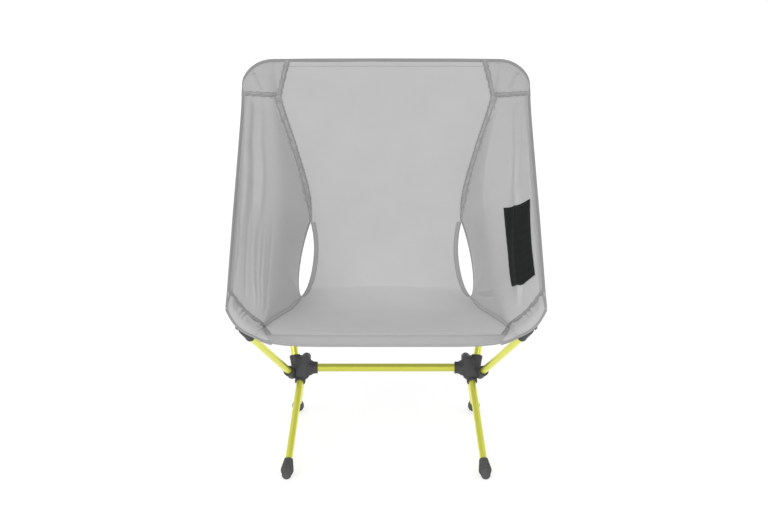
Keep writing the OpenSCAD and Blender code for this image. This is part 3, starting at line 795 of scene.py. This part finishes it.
def side_seams(side_name, side, wing):
    """Flat seams between the panel and the wing, above and below the opening."""
    sewn = []
    for part, start, stop, end, wide in (("upper", 0.010, OPEN_FROM, OPEN_FROM, 1.0),
                                         ("lower", OPEN_TO, 0.985, OPEN_TO, 0.45)):
        rows = 300
        lay = seam_run(wing, np.linspace(start, stop, rows), end, wide)
        width, middle = wide * (SEAM_ON_PANEL + SEAM_ON_WING), wide * (SEAM_ON_WING - SEAM_ON_PANEL) / 2
        tape = ribbon(f"{side_name}_seam_{part}", lambda x: lay(x + middle), rows, width, side, half=0.0008,
                      columns=25, pucker=0.0005, crown=0.0006)
        nodes = (f"{side_name}_seam",) if part == "upper" else ()
        sew(tape, "panel", "seam_fabric", *nodes, material=f"seam_{part}")
        sewn += [beside(lay, rows, wide * shift, 0.0012) for shift in (-0.0030, 0.0120)]
    return sewn


def free_edge(side_name, side, wing):
    """Hem and edge tape down the free edge."""
    t_values = np.linspace(0.004, 0.99, 420)
    run = line_on(wing, 1 - 0.0052 / wing_span(t_values), t_values)
    hem, _ = tape_along(f"{side_name}_edge_hem", run, 0.0110, side, half=0.0007, pucker=0.00008, wave=0.0002)
    sew(hem, side_name, "hem_fabric", f"{side_name}_wing_hem")
    run = line_on(wing, 1 - 0.0020 / wing_span(t_values), t_values)
    tape, sewn = tape_along(f"{side_name}_edge_tape", run, 0.0054, side, (-0.0052,), 0.0008, half=0.0017)
    sew(tape, side_name, "hem_fabric", material="edge")
    return sewn


def opening_bindings(side_name, side, wing):
    """Bound edges of the side opening."""
    t_values = np.linspace(OPEN_FROM + 0.001, OPEN_TO - 0.001, 160)
    edge_x = spline(SEAM, t_values)[..., 0] - OPEN_BACK * opening(t_values)
    run = line_on(folded_panel, 1 - 0.0036 / edge_x, t_values)
    tape, back_sewn = tape_along(f"{side_name}_back_tape", run, 0.0085, side, (-0.0030,), 0.0012, half=0.0010,
                                 crown=0.0003)
    sew(tape, "panel", "binding_tape", f"{side_name}_back_binding")
    run = line_on(wing, 0.0022 / wing_span(t_values), t_values)
    tape, wing_sewn = tape_along(f"{side_name}_wing_tape", run, 0.0056, side, (0.0018,), 0.0012, half=0.0010,
                                 crown=0.0003)
    sew(tape, side_name, "binding_tape", f"{side_name}_wing_binding")
    return back_sewn + wing_sewn


def top_patch(side_name, side, wing):
    """Reinforcing patch over the top corner, with its gathered border."""

    def patch(a, b):
        """a from the inner edge on the panel, over the seam at 0.2, to the free edge; b from the top down."""
        a, b = arrays(a, b)
        inner = np.clip(1 - a / 0.2, 0, 1) * (PATCH_IN - (PATCH_IN - 0.001) * b)
        on_panel = folded_panel(1 - inner / spline(SEAM, np.zeros_like(b))[..., 0], PATCH_LOW * b)
        s = np.clip((a - 0.2) / 0.8, 0, 1)
        low = PATCH_LOW - 0.050 * np.clip(s, 0, 1) ** 2
        return np.where((a < 0.2)[..., None], on_panel, wing(s, low * b))

    grid_a, grid_b = unit_grid(150, 60)
    points = patch(grid_a, grid_b)
    normal = normals(patch, np.clip(grid_a, 0.01, 0.99), grid_b, 0.012)
    puff = 0.0007 + 0.0018 * (smooth(grid_a / 0.1) * smooth((1 - grid_b) / 0.2) * smooth((1 - grid_a) / 0.12)
                              * smooth((grid_b - 0.06) / 0.2))
    dart = np.exp(-(((grid_a - 0.62 + 0.10 * grid_b) * 0.085) / 0.0030) ** 2)
    dart = dart * smooth(grid_b / 0.3) * smooth((0.92 - grid_b) / 0.2)
    gathers = np.sin(grid_a * 95 + 2 * np.sin(grid_a * 17)) * smooth((grid_b - 0.72) / 0.28)
    pulls = np.sin(grid_b * 42 + 2 * np.sin(grid_b * 9)) * smooth((0.16 - grid_a) / 0.16)
    lift = puff - 0.0022 * dart + 0.0004 * gathers + 0.0005 * pulls
    uvs = np.stack([grid_a * 0.09, grid_b * 0.065], -1)
    piece = cloth_sheet(f"{side_name}_corner_patch", points + normal * lift[..., None], uvs, side)
    sew(piece, side_name, "patch_fabric", f"{side_name}_top_patch")

    inner_run = line_on(patch, np.full(60, 0.015), np.linspace(0.03, 1, 60), 0.0016, 0.012)
    lower_run = line_on(patch, np.linspace(0.0, 0.965, 120), np.full(120, 0.96), 0.0014, 0.012)
    sewn = []
    for part, run in (("inner", inner_run), ("lower", lower_run)):
        border, rows = tape_along(f"{side_name}_patch_{part}", run, 0.0092, side, (-0.0024, 0.0022), 0.0013,
                                  half=0.0010, pucker=0.0005, wave=0.0007)
        sew(border, side_name, "patch_fabric", material="border")
        sewn += rows
    return sewn


def front_pocket(side_name, side, wing):
    """The layer of the front pocket that shows, from its gathered upper edge to the cut corner."""

    def pocket(a, b):
        """a from the free edge across the wing to its seam, then on to the panel; b from the top down."""
        a, b = arrays(a, b)
        s = np.clip(1 - a / POCKET_SEAM, 0, 1)
        upper = POCKET_TOP + 0.020 * np.sin(np.pi * np.clip(1 - s, 0, 1))
        on_wing = wing(s, upper + (1 - upper) * b)
        over = np.clip((a - POCKET_SEAM) / 0.2, 0, 1)
        start = POCKET_TOP + 0.082 * over
        on_panel = folded_panel(1 - 0.145 * over, start + (1 - start) * b)
        return np.where((a > POCKET_SEAM)[..., None], on_panel, on_wing)

    grid_a, grid_b = unit_grid(160, 50)
    points = pocket(grid_a, grid_b)
    normal = -normals(pocket, np.clip(grid_a, 0.01, 0.99), grid_b, 0.012)
    puff = 0.0008 + (0.0042 * np.sin(np.pi * np.clip(grid_b, 0, 1) ** 1.4) ** 1.5
                     * smooth(grid_a / 0.15) * smooth((1 - grid_a) / 0.2))
    gathers = np.sin(grid_a * 52 + 2.3 * np.sin(grid_a * 17) + 3 * grid_b) * smooth((0.75 - grid_b) / 0.6)
    lift = puff + 0.0011 * gathers
    points = points + normal * lift[..., None]
    uvs = np.stack([grid_a * 0.085, grid_b * 0.05], -1)
    piece = cloth_sheet(f"{side_name}_pocket_face", points[:, ::-1], uvs[:, ::-1], side)
    sew(piece, side_name, "patch_fabric")

    line, normal = line_on(pocket, np.linspace(0.01, 0.93, 150), np.full(150, 0.02), 0.0, 0.012)
    border, sewn = tape_along(f"{side_name}_pocket_border", (line - normal * 0.0014, -normal), 0.0080, side,
                              (-0.0022, 0.0022), 0.0014, half=0.0010, pucker=0.0005, wave=0.0007)
    sew(border, side_name, "patch_fabric", material="border")
    line, normal = line_on(pocket, np.linspace(0.015, 0.985, 160), np.full(160, 0.97), 0.0, 0.012)
    hem, _ = tape_along(f"{side_name}_pocket_hem", (line, -normal), 0.0056, side, half=0.0015, pucker=0.0001)
    sew(hem, side_name, "patch_fabric", material="edge")
    return sewn


for side_name, side in SIDES.items():
    threads = []
    for make in (side_seams, free_edge, opening_bindings, top_patch, front_pocket):
        threads += make(side_name, side, WINGS[side_name])
    sew(stitches(f"{side_name}_stitching", threads, side), side_name, "seam_fabric", material="thread")

# Hems across the top and the front
top_line = np.linspace(-1, 1, 240)
run = line_on(folded_panel, top_line, np.full_like(top_line, 0.0105))
hem, sewn = tape_along("top_hem_band", run, 0.0150, 1.0, (-0.0058, 0.0058), 0.0009, half=0.0007,
                       pucker=0.00006)
sew(hem, "panel", "hem_fabric", "top_hem", material="seat_fabric")
sew(stitches("top_stitching", sewn), "panel", "seam_fabric", material="thread")
for side_name, side in SIDES.items():
    half_top = np.linspace(0, 1, 140)
    runs = [line_on(folded_panel, half_top, np.full_like(half_top, 0.0036)),
            line_on(WINGS[side_name], np.linspace(0.02, 0.985, 100), np.full(100, 0.0036))]
    tape, _ = tape_along(f"{side_name}_top_tape", join(runs), 0.0064, side, half=0.0019)
    sew(tape, side_name, "hem_fabric", material="edge")
front_line = np.linspace(-0.99, 0.99, 240)
run = line_on(folded_panel, front_line, np.full_like(front_line, 0.982))
hem, sewn = tape_along("front_hem_band", run, 0.0180, 1.0, (-0.0070, 0.0062), 0.0010, half=0.0009,
                       pucker=0.00006)
sew(hem, "panel", "hem_fabric", "front_hem", material="front_hem")
sew(stitches("front_stitching", sewn), "panel", "seam_fabric", material="thread")
run = line_on(folded_panel, front_line, np.full_like(front_line, 0.9965))
tape, _ = tape_along("front_edge_tape", run, 0.0040, 1.0, half=0.0015)
sew(tape, "panel", "hem_fabric", material="edge")


# ---------------------------------------------------------------- label
LABEL_WIDTH, LABEL_HEIGHT = 0.055, 0.135
# Its upper and lower edge on the right wing: places along the edge, across the wing there, along the wing
LABEL_TOP = ((0.0, 0.49, 1.0), (0.93, 0.81, 0.68), (0.51, 0.50, 0.47))
LABEL_LOW = ((0.0, 0.49, 1.0), (0.86, 0.61, 0.52), (0.83, 0.82, 0.79))


def label(a, b):
    """a from the outer edge over the ridge to the inner edge, b from the top down, on the right wing."""
    a, b = arrays(a, b)
    ends = [(np.interp(a, row[0], row[1]), np.interp(a, row[0], row[2])) for row in (LABEL_TOP, LABEL_LOW)]
    s, t = (top + (low - top) * b for top, low in zip(*ends))
    return WINGS["right"](s + 0.05 * a * np.sin(np.pi * b), t)


grid_a, grid_b = unit_grid(60, 130)
points = label(grid_a, grid_b)
normal = -normals(label, grid_a, grid_b, 0.01)
edge_in = np.minimum(np.minimum(grid_a, 1 - grid_a) * LABEL_WIDTH,
                     np.minimum(grid_b, 1 - grid_b) * LABEL_HEIGHT)
lift = 0.0014 - 0.0006 * np.exp(-((edge_in - 0.0025) / 0.0010) ** 2)
lift = lift + 0.00015 * np.sin(grid_b * 60 + 3 * grid_a)
points = points + normal * lift[..., None]
uvs = np.stack([grid_a * LABEL_WIDTH, grid_b * LABEL_HEIGHT], -1)
piece = cloth_sheet("plain_label", points[:, ::-1], uvs[:, ::-1], 1.0, 0.0009)
sew(piece, "right", "woven_label", "side_label")
corners = [(0.045, 0.019), (0.955, 0.019), (0.955, 0.981), (0.045, 0.981)]
runs = []
for (a, b), (next_a, next_b) in zip(corners, corners[1:] + corners[:1]):
    line, normal = line_on(label, np.linspace(a, next_a, 80), np.linspace(b, next_b, 80), 0.0, 0.01)
    runs.append((line - normal * 0.0014, -normal))
sewing = stitches("label_stitching", runs, pitch=0.0028, radius=0.00024)
sew(sewing, "right", "woven_label", material="label_thread")


# ---------------------------------------------------------------- pocket sleeves over the pole tips
def sleeve(name, tip, direction, wall_side, radius, length, reach, side):
    """Cloth channel over a pole tip: a round wall, closed beyond the tip, with cheeks towards the seat."""
    across = unit(np.cross(wall_side, direction))
    outward = np.cross(direction, across)
    rows, columns = 60, 61
    along = np.sin(np.pi / 2 * np.linspace(0, 1, rows))
    x = np.linspace(-1, 1, columns)
    arc = math.pi * radius / 2
    total = arc + reach
    place = x * total
    angle = np.clip(place / radius, -math.pi / 2, math.pi / 2)
    cheek = np.maximum(np.abs(place) - arc, 0)
    shape_x = np.sin(angle) * radius + np.sign(x) * cheek * 0.12
    shape_y = np.cos(angle) * radius - cheek
    z = -length + (length + 0.0028) * along
    close = np.sqrt(np.clip(1 - np.clip((z + 0.0057) / 0.0085, 0, 1) ** 2, 0.0, 1))
    puckered = 1 + 0.02 * np.sin(along * 40)
    scale = (close * puckered)[:, None]
    height = np.where(shape_y > 0, shape_y, 0)[None, :] * scale + np.minimum(shape_y, 0)[None, :]
    points = (tip[None, None] + across * (shape_x[None, :] * scale)[..., None]
              + outward * height[..., None] + direction * z[:, None, None])
    uvs = np.stack(np.broadcast_arrays(place[None, :], z[:, None]), -1)
    return cloth_sheet(name, points, uvs, side, 0.0009)


LIFT = unit(np.array((0.0, *BACK_DIRECTION[1:])))
for side_name, side in SIDES.items():
    piece = sleeve(f"{side_name}_top_sleeve", BACK_TIP, BACK_DIRECTION, (0, 1, 0), 0.0108, 0.038, 0.0115,
                   side)
    sew(piece, side_name, "patch_fabric", f"{side_name}_top_pocket")
    piece = sleeve(f"{side_name}_front_sleeve", ARM_TIP, ARM_DIRECTION, LIFT, 0.0082, 0.014, 0.001, side)
    sew(piece, side_name, "patch_fabric", f"{side_name}_front_pocket")


# ---------------------------------------------------------------- camera, floor and light
# The camera stands in front of the chair and looks down at it, as fitted to the photo
CAMERA_PLACE, CAMERA_LENS, LOOKS_DOWN = (-0.0036, -3.002, 1.114), 84.75, 14.74
FLOOR_HALF, WALL_RADIUS, WALL_HEIGHT, WALL_SIDES = 30, 25, 6, 96
# Suns: name, turn in degrees, strength, softness in degrees
SUNS = (("key", (70, 0, -26), 1.42, 35), ("fill", (58, 0, 20), 0.6, 35))


def build_stage():
    scene = bpy.context.scene
    camera_data = bpy.data.cameras.new("camera")
    camera_data.lens = CAMERA_LENS
    camera_data.sensor_width = 36
    camera_data.clip_end = 100
    camera = bpy.data.objects.new("camera", camera_data)
    camera.location = CAMERA_PLACE
    camera.rotation_euler = (math.radians(90 - LOOKS_DOWN), 0, 0)
    scene.collection.objects.link(camera)
    scene.camera = camera

    corners = [(x * FLOOR_HALF, y * FLOOR_HALF, 0) for x, y in ((-1, -1), (1, -1), (1, 1), (-1, 1))]
    floor = new_object("floor", corners, [(0, 1, 2, 3)])
    material, nodes, links, shader = new_material("floor")
    shader.inputs["Base Color"].default_value = (0.45, 0.45, 0.45, 1)
    shader.inputs["Roughness"].default_value = 0.95
    shader.inputs["Specular IOR Level"].default_value = 0.1
    shader.inputs["Emission Color"].default_value = (1, 1, 1, 1)
    shader.inputs["Emission Strength"].default_value = 0.65
    floor.data.materials.append(material)

    angles = np.linspace(0, 2 * np.pi, WALL_SIDES, endpoint=False)
    ring = np.stack([WALL_RADIUS * np.cos(angles), WALL_RADIUS * np.sin(angles), np.zeros(WALL_SIDES)], -1)
    wall = new_object("backdrop", np.concatenate([ring, ring + (0, 0, WALL_HEIGHT)]),
                      [(k, (k + 1) % WALL_SIDES, WALL_SIDES + (k + 1) % WALL_SIDES, WALL_SIDES + k)
                       for k in range(WALL_SIDES)])
    wall.data.materials.append(material)

    world = bpy.data.worlds.new("studio")
    world.use_nodes = True
    nodes, links = world.node_tree.nodes, world.node_tree.links
    place, split = nodes.new("ShaderNodeTexCoord"), nodes.new("ShaderNodeSeparateXYZ")
    links.new(place.outputs["Generated"], split.inputs["Vector"])
    upwards = ramp(nodes, links, split.outputs["Z"], 0.0, 1.0, 0.3, 1.0)
    colour_mix(nodes, links, upwards, grey(0.54), grey(0.80), nodes["Background"].inputs["Color"])
    scene.world = world
    scene.view_settings.view_transform = "Standard"

    for name, angles, strength, size in SUNS:
        data = bpy.data.lights.new(name, "SUN")
        data.energy = strength
        data.angle = math.radians(size)
        light = bpy.data.objects.new(name, data)
        light.rotation_euler = tuple(math.radians(a) for a in angles)
        scene.collection.objects.link(light)


build_stage()
